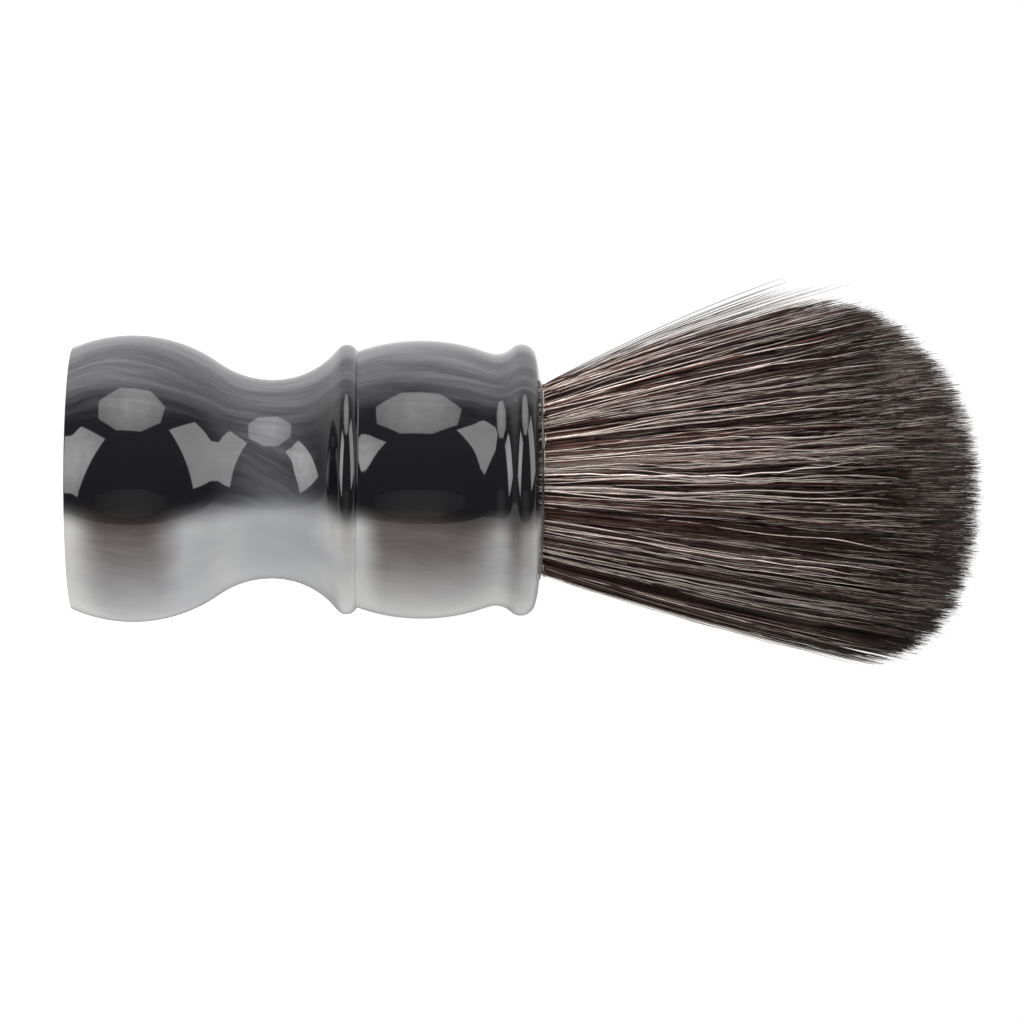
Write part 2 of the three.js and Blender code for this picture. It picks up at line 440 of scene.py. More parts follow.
def core_material():
    """The shaded depth of the knot between the strands: dark, with fine streaks from root to tip."""
    g = Graph("fibre_depth")
    x, y, z = g.split(g.place())
    around = g.math("ARCTAN2", y, x)
    streak = g.noise(g.vector(g.mul(around, 40.0), g.mul(z, 0.05), 0.0), 1.0, 3.0)
    colour = g.ramp(streak, [(0.3, (0.005, 0.003, 0.0025)), (0.7, (0.03, 0.015, 0.012))])
    g.set(Base_Color=colour, Roughness=0.7)
    g.bump(streak, 0.15 * MM)
    return g.material


def clouded_material(name, dark, light, scale, roughness):
    """Moulded plastic or cured resin with a slightly clouded tone and an uneven surface."""
    g = Graph(name)
    place = g.place()
    cloud = g.noise(place, scale, 3.0)
    colour = g.ramp(cloud, [(0.3, dark), (0.7, light)])
    g.set(Base_Color=colour, Roughness=g.add(roughness, g.mul(cloud, 0.1)))
    g.bump(g.noise(place, scale * 2.5, 2.0), 0.03 * MM, 0.4)
    return g.material


def thread_material():
    """Waxed cotton, twisted: slanting strands a quarter of a millimetre apart."""
    g = Graph("waxed_thread")
    x, y, z = g.split(g.place())
    around = g.math("ARCTAN2", y, x)
    twist = g.math("SINE", g.add(g.mul(around, 150.0), g.mul(z, 22.0)))
    colour = g.ramp(g.smooth(twist, -1.0, 1.0), [(0.0, (0.3, 0.27, 0.21)), (1.0, (0.72, 0.68, 0.6))])
    g.set(Base_Color=colour, Roughness=0.6)
    g.bump(twist, 0.05 * MM)
    return g.material


# ---- Handle ----

HANDLE_FACETS = 192
# The CAD mesh's round at the base's edge lies below this height. Here the edge is crisper: it has a bevel
# and then points at these heights.
BASE_ROUND = 0.2 * MM
EDGE_BEVEL = 0.06 * MM
EDGE_HEIGHTS = (EDGE_BEVEL, 0.12 * MM, 0.22 * MM)
# Where the outline turns by more than this, the model has a small round that reaches this far either way.
SHARP_TURN = math.radians(45)
CORNER_ROUND = 0.16 * MM
MOUTH_CHAMFER = 0.2 * MM


def handle_outline():
    """The handle's outline, from its CAD mesh: one (radius, z) for each height of outside vertices."""
    places = np.array([v.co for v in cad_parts["handle"].data.vertices], float)
    radii = np.hypot(places[:, 0], places[:, 1])
    outside = places[radii > SOCKET_RADIUS + 0.1 * MM]
    radii = radii[radii > SOCKET_RADIUS + 0.1 * MM]
    heights = np.unique(np.round(outside[:, 2], 6))
    heights = heights[heights > BASE_ROUND]
    return [(radii[np.abs(outside[:, 2] - z) < 1e-6].max(), z) for z in heights]


def smooth_outline(outline, steps):
    """Smooth lines through an outline's points. They meet in a small round at each sharp corner."""
    points = np.array(outline, float)
    run = np.diff(points, axis=0)
    heading = np.arctan2(run[:, 0], run[:, 1])
    turns = np.abs(np.diff(heading))
    sharp = [i + 1 for i, turn in enumerate(turns) if turn > SHARP_TURN]
    ends = [0] + sharp + [len(points) - 1]
    pieces = [spline(points[a:b + 1], steps) for a, b in zip(ends[:-1], ends[1:])]
    cut = CORNER_ROUND
    line = pieces[0]
    for piece in pieces[1:]:
        corner = piece[0]
        before = line[np.linalg.norm(line - corner, axis=1) > cut]
        after = piece[np.linalg.norm(piece - corner, axis=1) > cut]
        t = np.linspace(0, 1, 8)[1:-1, None]
        start = corner + cut * (before[-1] - corner) / np.linalg.norm(before[-1] - corner)
        end = corner + cut * (after[0] - corner) / np.linalg.norm(after[0] - corner)
        bend = (1 - t) ** 2 * start + 2 * t * (1 - t) * corner + t**2 * end
        line = np.vstack([before, start[None], bend, end[None], after])
    return line


def make_handle():
    outside = smooth_outline(handle_outline(), 4)
    slope = (outside[1] - outside[0]) / (outside[1][1] - outside[0][1])
    edge = [outside[0] + slope * (z - outside[0][1]) for z in EDGE_HEIGHTS]
    outside = np.vstack([[edge[0][0] - EDGE_BEVEL, 0.0], edge, outside])
    bore = [(SOCKET_RADIUS, HANDLE_TOP - MOUTH_CHAMFER), (SOCKET_RADIUS, SOCKET_FLOOR), (0.0, SOCKET_FLOOR)]
    base_steps = [(r, 0.0) for r in np.linspace(0.0, outside[0][0], 8)[:-1]]
    outline = base_steps + [tuple(p) for p in outside] + bore
    piece = turned("handle_resin", outline, HANDLE_FACETS)
    piece.data.materials.append(resin_material())
    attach(piece, BODY)
    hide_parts("handle")


# ---- Fibre ----

# The kinds of strand are dark, brown, red and pale. Each has a share, a tint and a usual width. The pale
# tint is partly the fibre's own pale colour and partly painted highlight, standing in for the gloss that the
# lights put on the strands.
DARK = 0
PALE = 3
KIND_SHARES = (0.42, 0.21, 0.10, 0.27)
KIND_TINTS = np.array([
    (0.026, 0.0115, 0.0098),
    (0.12, 0.067, 0.056),
    (0.12, 0.042, 0.033),
    (0.86, 0.75, 0.69),
])
KIND_WIDTHS = np.array([0.19, 0.165, 0.16, 0.155]) * MM

# How much darker than its root a strand's tip is. The tips inside the knot are in each other's shade. Some
# strands are plain, and darken less.
INNER_FADES = (0.7, 0.95)
OUTER_FADES = (0.45, 0.93)
PLAIN_FADES = (0.0, 0.35)
PLAIN_SHARE = 0.35

# The knot's cross-section is cut into rings of patches. The strands in a lock bend together, and each ring's
# locks are numbered a stride on. A wisp is a finer patch. A share of the strands are alike in their wisp.
PATCH_RINGS = 14
LOCK_STRIDE = 200
WISPS_A_RING = 240
ALIKE_SHARE = 0.6

# The groups of strands: name, count, least and greatest share of the knot's radius, rings and fades. The
# outer ones are in several pieces, so that none has too many triangles.
FIBRE_GROUPS = (
    ("middle_1", 3000, 0.0, 0.6, 6, INNER_FADES),
    ("middle_2", 3600, 0.6, 0.85, 7, INNER_FADES),
    ("outer_1", 1300, 0.84, 0.95, 16, OUTER_FADES),
    ("outer_2", 1300, 0.84, 0.95, 16, OUTER_FADES),
    ("outer_3", 1350, 0.92, 1.0, 22, OUTER_FADES),
    ("outer_4", 1350, 0.92, 1.0, 22, OUTER_FADES),
)
STRAY_COUNT = 150
STRAY_RINGS = 14
FLYAWAY_COUNT = 40
FLYAWAY_RINGS = 40
STRAND_SIDES = 3


def tip_of(fraction, around):
    """Where a strand ends, by its share of the knot's radius: (radius, z). The dome leans towards -X."""
    lean = -np.cos(around)
    radius = TUFT_RADIUS * fraction * (1 + 0.012 * lean)
    rise = (1 - np.clip(fraction, 0, 1) ** DOME_SQUARENESS) ** (1 / DOME_SQUARENESS)
    z = SHOULDER_Z + (TUFT_TOP - SHOULDER_Z) * rise - LEAN * lean * fraction**2
    return radius, z


def smooth_step(value):
    value = np.clip(value, 0, 1)
    return value * value * (3 - 2 * value)


def wave(rng, who, count, turns, size, t):
    """A sideways wave along each strand. who is each strand's number in the draw, which locks share."""
    turn = rng.uniform(*turns, count)[who][:, None]
    phase = rng.uniform(0, 2 * math.pi, count)[who][:, None]
    height = rng.uniform(*size, count)[who][:, None] * MM
    return height * np.sin(2 * math.pi * turn * t + phase)


def ring_places(rings):
    """Shares of a strand's height for its rings, closer together at the root and at the tip."""
    even = np.linspace(0, 1, rings)
    return 0.35 * even + 0.65 * (1 - np.cos(math.pi * even)) / 2


def strand_heights(tip_z, t):
    """(z, free) of each strand's rings. free is the share of the way from the collar's lip to the tip."""
    base_z = COLLAR_LIP - ROOT_DEPTH
    z = base_z + (tip_z - base_z)[:, None] * t
    free = np.clip((z - COLLAR_LIP + 0.2 * MM) / (tip_z - COLLAR_LIP)[:, None], 0, 1)
    return z, free


def spill_over(z, free):
    """How far an outermost strand stands out just above the collar's lip."""
    return SPILL * smooth_step((z - COLLAR_LIP + 0.1 * MM) / (0.8 * MM)) * (1 - free)


def lean_out(free):
    """How far out a strand is, from 0 at the lip to 1 at its tip. It bows out a little on the way."""
    return free + 0.045 * np.sin(math.pi * free)


def points_around(around, radius, aside, z):
    """Points (strand, ring, 3) at a radius and a distance aside from it, for strands at angles around Z."""
    cos = np.cos(around)[:, None]
    sin = np.sin(around)[:, None]
    return np.stack([radius * cos - aside * sin, radius * sin + aside * cos, z], axis=2)


def strand_paths(rng, fraction, around, kind, rings):
    """Points (strand, ring, 3) of each strand's middle line, from inside the collar to its tip. A strand
    stands straight inside the collar, spills over its lip and then leans out."""
    count = len(fraction)
    own = np.arange(count)
    patch_ring = np.floor(fraction * PATCH_RINGS)
    cell = patch_ring * LOCK_STRIDE + np.floor(around / (2 * math.pi) * (8 + 44 * fraction))
    keys, lock = np.unique(cell, return_inverse=True)
    locks = len(keys)
    t = ring_places(rings)[None, :]
    tip_radius, tip_z = tip_of(fraction, around)
    tip_z = tip_z + rng.normal(0, 0.2 * MM, count) + rng.normal(0, 0.18 * MM, locks)[lock]
    tip_z = tip_z - rng.exponential(0.45 * MM, count)
    z, free = strand_heights(tip_z, t)
    root = ROOT_RADIUS * fraction[:, None]
    spill = fraction[:, None] ** 5 * spill_over(z, free)
    radius = root + spill + (tip_radius[:, None] - root) * lean_out(free)
    out_by = rng.normal(0, 0.25 * MM, locks)[lock] + rng.normal(0, 0.25 * MM, count)
    out_by = out_by + np.where(kind == PALE, 0.15 * MM, 0.0)
    radius = radius + out_by[:, None] * free

    stray = np.where(kind == PALE, 1.5, 0.8)
    aside_by = rng.normal(0, 0.4 * MM, locks)[lock] + stray * rng.normal(0, 0.75 * MM, count)
    bend = wave(rng, lock, locks, (0.8, 2.0), (0.05, 0.3), t)
    bend = bend + wave(rng, own, count, (0.8, 2.5), (0.05, 0.4), t)
    kink = wave(rng, own, count, (4.0, 8.0), (0.0, 0.12), t)
    aside = aside_by[:, None] * free + (bend + kink) * free**0.6
    radius = radius + 0.5 * wave(rng, own, count, (1.5, 5.0), (0.0, 0.16), t) * free**0.6
    return points_around(around, radius, aside, z)


def strand_vertices(paths, widths):
    """The corners of tubes along paths (strand, ring, 3), thinner towards their tips."""
    count, rings, _ = paths.shape
    t = ring_places(rings)
    point = 0.5 * (np.maximum(t - 0.85, 0) / 0.15) ** 1.5
    radius = 0.5 * widths[:, None] * (1.0 - 0.32 * t - point)[None, :]
    along = np.gradient(paths, axis=1)
    along /= np.linalg.norm(along, axis=2, keepdims=True)
    outwards = paths.copy()
    outwards[:, :, 2] = 0
    outwards += np.array([1e-6, 0, 0])
    across = np.cross(along, outwards)
    across /= np.linalg.norm(across, axis=2, keepdims=True)
    normal = np.cross(across, along)
    spin = np.arange(count)[:, None] * 2.4
    corners = []
    for k in range(STRAND_SIDES):
        a = spin + 2 * math.pi * k / STRAND_SIDES
        corner = across * np.cos(a)[:, :, None] + normal * np.sin(a)[:, :, None]
        corners.append(paths + corner * radius[:, :, None])
    return np.stack(corners, axis=2).reshape(-1, 3)


def strand_walls(rings):
    """The side faces of one strand, and where their corners are in its own square of the map."""
    ring = np.arange(rings - 1)
    low_v = ring / (rings - 1)
    high_v = (ring + 1) / (rings - 1)
    same = np.ones(rings - 1)
    walls = []
    places = []
    for k in range(STRAND_SIDES):
        low = ring * STRAND_SIDES + k
        low_next = ring * STRAND_SIDES + (k + 1) % STRAND_SIDES
        walls.append(np.stack([low, low_next, low_next + STRAND_SIDES, low + STRAND_SIDES], axis=1))
        left = k / STRAND_SIDES * same
        right = (k + 1) / STRAND_SIDES * same
        corners = ((left, low_v), (right, low_v), (right, high_v), (left, high_v))
        places.append(np.stack([np.stack(corner, 1) for corner in corners], axis=1))
    return np.concatenate(walls), np.concatenate(places)


def add_strand_map(piece, count, places):
    """Gives each strand its own small rectangle of a UV map named OFBake, in a square grid."""
    grid = math.ceil(math.sqrt(count))
    column = np.arange(count) % grid
    row = np.arange(count) // grid
    u = (column[:, None, None] + 0.15 + 0.7 * places[None, :, :, 0]) / grid
    v = (row[:, None, None] + 0.1 + 0.8 * places[None, :, :, 1]) / grid
    side_uv = np.stack([u, v], axis=3).reshape(-1, 2)
    end_u = np.repeat((column + 0.5) / grid, STRAND_SIDES * 2)
    end_v = np.stack([(row + 0.12) / grid, (row + 0.88) / grid], 1)
    end_v = np.repeat(end_v, STRAND_SIDES, axis=1).ravel()
    uv = np.vstack([side_uv, np.stack([end_u, end_v], axis=1)])
    layer = piece.data.uv_layers.new(name="OFBake")
    layer.data.foreach_set("uv", uv.astype(np.float32).ravel())


def add_strand_tint(piece, rings, tints, fades):
    """Stores each strand's tint, which darkens along it. The tip itself is darker still."""
    t = ring_places(rings)[None, :]
    fade = (1 - fades[:, None] * t**1.8) * (1 - 0.45 * smooth_step((t - 0.86) / 0.14))
    shades = tints[:, None, :] * fade[:, :, None]
    shades = np.repeat(shades, STRAND_SIDES, axis=1).reshape(-1, 3)
    colours = np.hstack([shades, np.ones((len(shades), 1))])
    attribute = piece.data.attributes.new("strand_tint", "FLOAT_COLOR", "POINT")
    attribute.data.foreach_set("color", colours.astype(np.float32).ravel())


def strand_mesh(name, paths, widths, tints, fades):
    """Closed three-sided strands along paths (strand, ring, 3), each thinner towards its tip."""
    count, rings, _ = paths.shape
    walls, places = strand_walls(rings)
    first = np.arange(count) * rings * STRAND_SIDES
    faces = (walls[None] + first[:, None, None]).reshape(-1, 4)
    piece = new_mesh_object(name, strand_vertices(paths, widths), faces, 4)
    close_ends(piece, count, rings)
    add_strand_map(piece, count, places)
    add_strand_tint(piece, rings, tints, fades)
    return piece


def close_ends(piece, count, rings):
    """Adds the two end triangles of every strand, after its side faces."""
    mesh = piece.data
    first = np.arange(count)[:, None] * rings * STRAND_SIDES
    low = first + np.arange(STRAND_SIDES)[::-1][None, :]
    high = first + (rings - 1) * STRAND_SIDES + np.arange(STRAND_SIDES)[None, :]
    ends = np.stack([low, high], axis=1).reshape(-1, STRAND_SIDES)
    loops = len(mesh.loops)
    polygons = len(mesh.polygons)
    mesh.loops.add(ends.size)
    mesh.polygons.add(len(ends))
    corners = np.zeros(len(mesh.loops), np.int32)
    mesh.loops.foreach_get("vertex_index", corners)
    corners[loops:] = ends.ravel()
    mesh.loops.foreach_set("vertex_index", corners)
    starts = np.zeros(len(mesh.polygons), np.int32)
    mesh.polygons.foreach_get("loop_start", starts)
    starts[polygons:] = loops + np.arange(len(ends)) * STRAND_SIDES
    mesh.polygons.foreach_set("loop_start", starts)
    mesh.polygons.foreach_set("use_smooth", np.ones(len(mesh.polygons), bool))
    mesh.update(calc_edges=True)


def pick_kinds(rng, fraction, around):
    """A kind for each strand. Pale and reddish strands come in locks, with more of them at -X, the side the
    key light is above: painted light.
    """
    lock = np.sin(around * 23 + 5 * np.sin(around * 7)) * np.sin(fraction * 9 + around * 3)
    # Painted light: the draw is raised towards -X, so that the lit side has more pale strands.
    painted_top_light = -0.05 * np.cos(around)
    count = len(fraction)
    wisp = np.floor(fraction * PATCH_RINGS) * WISPS_A_RING + np.floor(around / (2 * math.pi) * WISPS_A_RING)
    wisp_count = (PATCH_RINGS + 1) * WISPS_A_RING + 1
    wisp_draw = np.random.default_rng(SEED).uniform(0, 1, wisp_count)
    alike = rng.uniform(0, 1, count) < ALIKE_SHARE
    draw = np.where(alike, wisp_draw[wisp.astype(int)], rng.uniform(0, 1, count))
    draw = np.clip(draw + 0.06 * lock + painted_top_light, 0, 0.9999)
    return np.clip(np.searchsorted(np.cumsum(KIND_SHARES), draw), DARK, PALE)


def dress(rng, kind, fade_range):
    """(tint, width, fade) of each strand, from its kind."""
    count = len(kind)
    tints = KIND_TINTS[kind] * rng.uniform(0.55, 1.2, (count, 1))
    widths = KIND_WIDTHS[kind] * np.clip(rng.lognormal(0, 0.25, count), 0.6, 1.5)
    plain = rng.uniform(0, 1, count) < PLAIN_SHARE
    fades = np.where(plain, rng.uniform(*PLAIN_FADES, count), rng.uniform(*fade_range, count))
    return tints, widths, fades


def make_fibres(name, material, seed, count, low, high, rings, fade_range):
    """Strands whose roots lie between two shares of the knot's radius."""
    rng = np.random.default_rng(seed)
    fraction = np.sqrt(rng.uniform(low**2, high**2, count))
    around = rng.uniform(0, 2 * math.pi, count)
    kind = pick_kinds(rng, fraction, around)
    paths = strand_paths(rng, fraction, around, kind, rings)
    tints, widths, fades = dress(rng, kind, fade_range)
    piece = strand_mesh(name, paths, widths, tints, fades)
    piece.data.materials.append(material)
    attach(piece, BODY)


def make_strays(material):
    """Single strands that stand away from the knot, most of them on the side towards -X."""
    rng = np.random.default_rng(SEED + 90)
    count = STRAY_COUNT
    loose = rng.uniform(0, 1, count) < 0.3
    around = np.where(loose, rng.uniform(0, 2 * math.pi, count), math.pi + rng.normal(0, 0.5, count))
    spread = np.where(loose, rng.uniform(0, 1.2, count), rng.uniform(0, 4.6, count)) * MM
    t = ring_places(STRAY_RINGS)[None, :]
    z, free = strand_heights(SHOULDER_Z + rng.uniform(-9, 1, count) * MM, t)
    tip_radius = TUFT_RADIUS * 0.95 + spread
    radius = ROOT_RADIUS + spill_over(z, free) + (tip_radius - ROOT_RADIUS)[:, None] * lean_out(free)
    aside = wave(rng, np.arange(count), count, (0.6, 1.8), (0.05, 0.3), t) * free
    paths = points_around(around, radius, aside, z)
    tints, widths, fades = dress(rng, pick_kinds(rng, np.ones(count), around), OUTER_FADES)
    piece = strand_mesh("fibres_stray", paths, widths * 0.5, tints, fades)
    piece.data.materials.append(material)
    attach(piece, BODY)


def make_flyaways(material):
    """A few loose, wavy strands that lie across the others on the outside of the knot. They are all pale, so
    their tint is partly painted highlight.
    """
    rng = np.random.default_rng(SEED + 60)
    count = FLYAWAY_COUNT
    around = rng.uniform(0, 2 * math.pi, count)
    kind = np.full(count, PALE)
    paths = strand_paths(rng, np.full(count, 1.0), around, kind, FLYAWAY_RINGS)
    t = ring_places(FLYAWAY_RINGS)[None, :]
    who = np.arange(count)
    aside = wave(rng, who, count, (0.5, 2.0), (0.1, 0.5), t)
    aside = aside + wave(rng, who, count, (4.0, 9.0), (0.02, 0.1), t)
    aside = aside * smooth_step(t / 0.3)
    lift = 0.12 * MM + np.abs(wave(rng, who, count, (1.0, 3.0), (0.0, 0.25), t))
    flat = np.hypot(paths[:, :, 0], paths[:, :, 1])
    cos = paths[:, :, 0] / flat
    sin = paths[:, :, 1] / flat
    lift = lift * smooth_step(t / 0.2)
    paths[:, :, 0] += lift * cos - aside * sin
    paths[:, :, 1] += lift * sin + aside * cos
    tints, widths, fades = dress(rng, kind, OUTER_FADES)
    piece = strand_mesh("fibres_flyaway", paths, widths * 0.75, tints, fades)
    piece.data.materials.append(material)
    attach(piece, BODY)


def make_core():
    """A closed dark solid a little inside the knot, so that no light comes through between the strands."""
    share = 0.86
    base_z = COLLAR_LIP - ROOT_DEPTH
    top_gap = 7 * MM
    outline = [(0.0, base_z), (ROOT_RADIUS * share, base_z), (ROOT_RADIUS * share, COLLAR_LIP)]
    for t in np.linspace(0, 1, 12)[1:]:
        radius = ROOT_RADIUS + (TUFT_RADIUS - ROOT_RADIUS) * (t + 0.055 * math.sin(math.pi * t))
        outline.append((radius * share, COLLAR_LIP + (SHOULDER_Z - 4 * MM - COLLAR_LIP) * t))
    edge = outline[-1]
    for angle in np.linspace(0, math.pi / 2, 12)[1:]:
        rise = (TUFT_TOP - top_gap - edge[1]) * math.sin(angle) ** 0.9
        outline.append((edge[0] * math.cos(angle) ** 0.9, edge[1] + rise))
    outline[-1] = (0.0, outline[-1][1])
    piece = turned("fibre_core", outline, 96)
    piece.data.materials.append(core_material())
    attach(piece, BODY)
    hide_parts("bristle_tuft")


def make_tuft():
    material = fibre_material("synthetic_fibre", "strand_tint")
    make_core()
    for number, (name, count, low, high, rings, fades) in enumerate(FIBRE_GROUPS, start=1):
        make_fibres("fibres_" + name, material, SEED + number, count, low, high, rings, fades)
    make_strays(material)
    make_flyaways(material)


# ---- Collar, adhesive and the pieces hidden in the socket ----

COLLAR_WALL = 0.55 * MM
COLLAR_LIP_ROUND = 0.13 * MM
GLUE_ARCS = 12
GLUE_BEADS = 150


def make_collar():
    """The collar again, finely turned, with a rounded lip."""
    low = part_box("knot_collar")[0].z
    inner = COLLAR_RADIUS - COLLAR_WALL
    middle = (inner + COLLAR_RADIUS) / 2
    lip_z = COLLAR_LIP - COLLAR_LIP_ROUND
    lip = []
    for a in np.linspace(0, math.pi, 9):
        lip.append((middle + (middle - inner) * math.cos(a), lip_z + COLLAR_LIP_ROUND * math.sin(a)))
    outline = [(COLLAR_RADIUS, low)] + lip + [(inner, low)]
    piece = turned_ring("collar_ring", outline, 160)
    dark, light = (0.008, 0.007, 0.007), (0.02, 0.018, 0.017)
    piece.data.materials.append(clouded_material("collar_plastic", dark, light, 0.6, 0.16))
    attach(piece, BODY)
    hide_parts("knot_collar")


def glue_arc(rng, start, span):
    """An uneven thread of cured glue on the roots, over part of the way round: (vertices, faces)."""
    steps = max(int(span / 0.02), 6)
    sides = 6
    along = np.linspace(0, 1, steps)
    around = start + span * along
    size = 0.045 + 0.02 * np.sin(around * 37) + 0.02 * rng.normal(0, 1, steps)
    size = np.clip(size, 0.02, 0.1) * np.sin(math.pi * np.clip(along, 0.02, 0.98)) ** 0.3 * MM
    radius = ROOT_RADIUS + (0.56 + 0.05 * np.sin(around * 29) + 0.02 * rng.normal(0, 1, steps)) * MM
    z = HANDLE_TOP + (0.3 + 0.1 * np.sin(around * 11 + np.sin(around * 23))) * MM
    turn = np.arange(sides) * 2 * math.pi / sides
    ring_radius = radius[:, None] + size[:, None] * np.cos(turn)
    x = ring_radius * np.cos(around)[:, None]
    y = ring_radius * np.sin(around)[:, None]
    vertices = np.stack([x, y, z[:, None] + size[:, None] * np.sin(turn)], axis=2).reshape(-1, 3)
    i, k = np.meshgrid(np.arange(steps - 1), np.arange(sides), indexing="ij")
    side = (k + 1) % sides
    walls = np.stack([i * sides + k, (i + 1) * sides + k, (i + 1) * sides + side, i * sides + side], axis=2)
    faces = [tuple(int(v) for v in face) for face in walls.reshape(-1, 4)]
    faces.append(tuple(range(sides)))
    faces.append(tuple(range((steps - 1) * sides, steps * sides))[::-1])
    return vertices, faces


def make_glue():
    """Cured adhesive where the fibre leaves the collar: broken threads, and small beads on the strands. The
    pale threads are partly dried glue and partly a painted glint.
    """
    rng = np.random.default_rng(SEED + 70)
    front = -math.pi / 2
    vertices = []
    faces = []
    # Painted glint: this pale arc lies at the front, where the glue catches the light.
    arcs = [(front - 0.5, 0.47)]
    arcs += [(rng.uniform(0, 2 * math.pi), rng.uniform(0.05, 0.3)) for _ in range(GLUE_ARCS)]
    for start, span in arcs:
        more, walls = glue_arc(rng, start, span)
        faces += [tuple(v + len(vertices) for v in face) for face in walls]
        vertices += more.tolist()
    thread = object_from_lists("glue_thread_and_glint", vertices, faces)

    drops = bmesh.new()
    for _ in range(GLUE_BEADS):
        a = rng.uniform(0, 2 * math.pi)
        rise = rng.uniform(0.1, 0.9) * MM
        r = ROOT_RADIUS + rng.uniform(0.3, 0.42) * MM + 0.42 * rise
        place = (r * math.cos(a), r * math.sin(a), HANDLE_TOP + rise)
        shape = Matrix.Translation(place) @ Matrix.Diagonal((1, 1, rng.uniform(0.8, 2.0), 1))
        bmesh.ops.create_icosphere(drops, subdivisions=2, radius=rng.uniform(0.03, 0.09) * MM, matrix=shape)
    for face in drops.faces:
        face.smooth = True
    beads = bpy.data.objects.new("glue_beads", bpy.data.meshes.new("glue_beads"))
    bpy.context.scene.collection.objects.link(beads)
    drops.to_mesh(beads.data)
    drops.free()
    clear = clouded_material("cured_glue", (0.05, 0.042, 0.038), (0.16, 0.145, 0.13), 2.0, 0.04)
    # The pale threads' tone is partly dried glue and partly painted glint.
    white = clouded_material("dried_glue_and_glint", (0.35, 0.32, 0.28), (0.7, 0.66, 0.6), 2.0, 0.2)
    for piece, material in ((thread, white), (beads, clear)):
        piece.data.materials.append(material)
        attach(piece, BODY)


def dress_cad_nodes():
    """The pieces whose CAD shape is right keep it, and get their materials here."""
    epoxy = ((0.03, 0.025, 0.022), (0.07, 0.06, 0.05))
    potting = ((0.01, 0.008, 0.007), (0.04, 0.03, 0.026))
    finishes = {
        "setting_adhesive": clouded_material("epoxy", *epoxy, 0.8, 0.06),
        "potting_resin": clouded_material("potting", *potting, 0.5, 0.12),
        "binding_thread": thread_material(),
    }
    for node, material in finishes.items():
        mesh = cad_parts[node].data
        mesh.materials.clear()
        mesh.materials.append(material)


# ---- Stage: floor, lights and camera ----


def glow_material(name, colour=(1.0, 1.0, 1.0)):
    """A material that only glows, and the socket for its strength."""
    material = bpy.data.materials.new(name)
    material.use_nodes = True
    tree = material.node_tree
    tree.nodes.clear()
    emission = tree.nodes.new("ShaderNodeEmission")
    emission.inputs["Color"].default_value = (*colour, 1.0)
    output = tree.nodes.new("ShaderNodeOutputMaterial")
    tree.links.new(emission.outputs[0], output.inputs[0])
    return material, emission.inputs["Strength"]


def make_floor():
    """A pale floor that stays near white, with only a faint shadow."""
    size = 30.0
    below = -0.05 * MM
    corners = [(-size, -size, below), (size, -size, below), (size, size, below), (-size, size, below)]
    floor = new_mesh_object("floor", corners, np.array([[0, 1, 2, 3]]), 4)
    g = Graph("pale_floor")
    g.set(Base_Color=(0.8, 0.8, 0.8), Roughness=0.9, Emission_Color=(1.0, 1.0, 1.0), Emission_Strength=0.8)
    floor.data.materials.append(g.material)
    floor.visible_glossy = False
    floor.visible_diffuse = False
    floor.visible_shadow = False


def direction(across, above):
    """A unit vector from the brush, in degrees: across from the camera towards +Z, above towards -X."""
    a = math.radians(across) - CAMERA_TURN
    e = math.radians(above)
    return np.array([-math.sin(e), -math.cos(e) * math.cos(a), math.cos(e) * math.sin(a)])


def make_card(name, corners, strength, distance=0.9):
    """A lit panel that only reflections see. Its corners are directions from the middle of the brush."""
    rim = np.array([0, 0, TUFT_TOP / 2]) + np.array(corners) * distance
    card = new_mesh_object(name, rim, np.arange(len(rim))[None, :], len(rim))
    card.data.materials.append(panel_material(name, rim.mean(axis=0), strength))
    only_in_reflections(card)


def panel_material(name, middle, strength):
    """A softbox's cloth: brightest at its middle, and a little uneven."""
    material, glow = glow_material(name)
    tree = material.node_tree
    place = tree.nodes.new("ShaderNodeTexCoord").outputs["Object"]
    gap = tree.nodes.new("ShaderNodeVectorMath")
    gap.operation = "DISTANCE"
    tree.links.new(place, gap.inputs[0])
    gap.inputs[1].default_value = middle
    fall = smooth_map(tree, gap.outputs["Value"], 0.0, 0.5, 1.15 * strength, 0.62 * strength)
    noise = tree.nodes.new("ShaderNodeTexNoise")
    tree.links.new(place, noise.inputs["Vector"])
    noise.inputs["Scale"].default_value = 9.0
    uneven = tree.nodes.new("ShaderNodeMath")
    uneven.operation = "MULTIPLY_ADD"
    tree.links.new(noise.outputs[0], uneven.inputs[0])
    uneven.inputs[1].default_value = 0.5
    uneven.inputs[2].default_value = 0.75
    product = tree.nodes.new("ShaderNodeMath")
    product.operation = "MULTIPLY"
    tree.links.new(fall, product.inputs[0])
    tree.links.new(uneven.outputs[0], product.inputs[1])
    tree.links.new(product.outputs[0], glow)
    return material


def octagon(across, above, half_width, half_height):
    """Directions of the corners of an upright octagon that faces the brush. Its size is in degrees."""
    middle = direction(across, above)
    turn = math.radians(across) - CAMERA_TURN
    right = np.array([0, math.sin(turn), math.cos(turn)])
    top = np.cross(right, middle)
    stretch = 1 / math.cos(math.pi / 8)
    wide = stretch * math.tan(math.radians(half_width))
    tall = stretch * math.tan(math.radians(half_height))
    angles = [math.pi / 8 + math.pi / 4 * k for k in range(8)]
    return [middle + right * wide * math.cos(a) + top * tall * math.sin(a) for a in angles]


def softbox(*corners):
    return [direction(across, above) for across, above in corners]


def only_in_reflections(card):
    card.visible_camera = False
    card.visible_diffuse = False
    card.visible_shadow = False
    card.visible_transmission = False


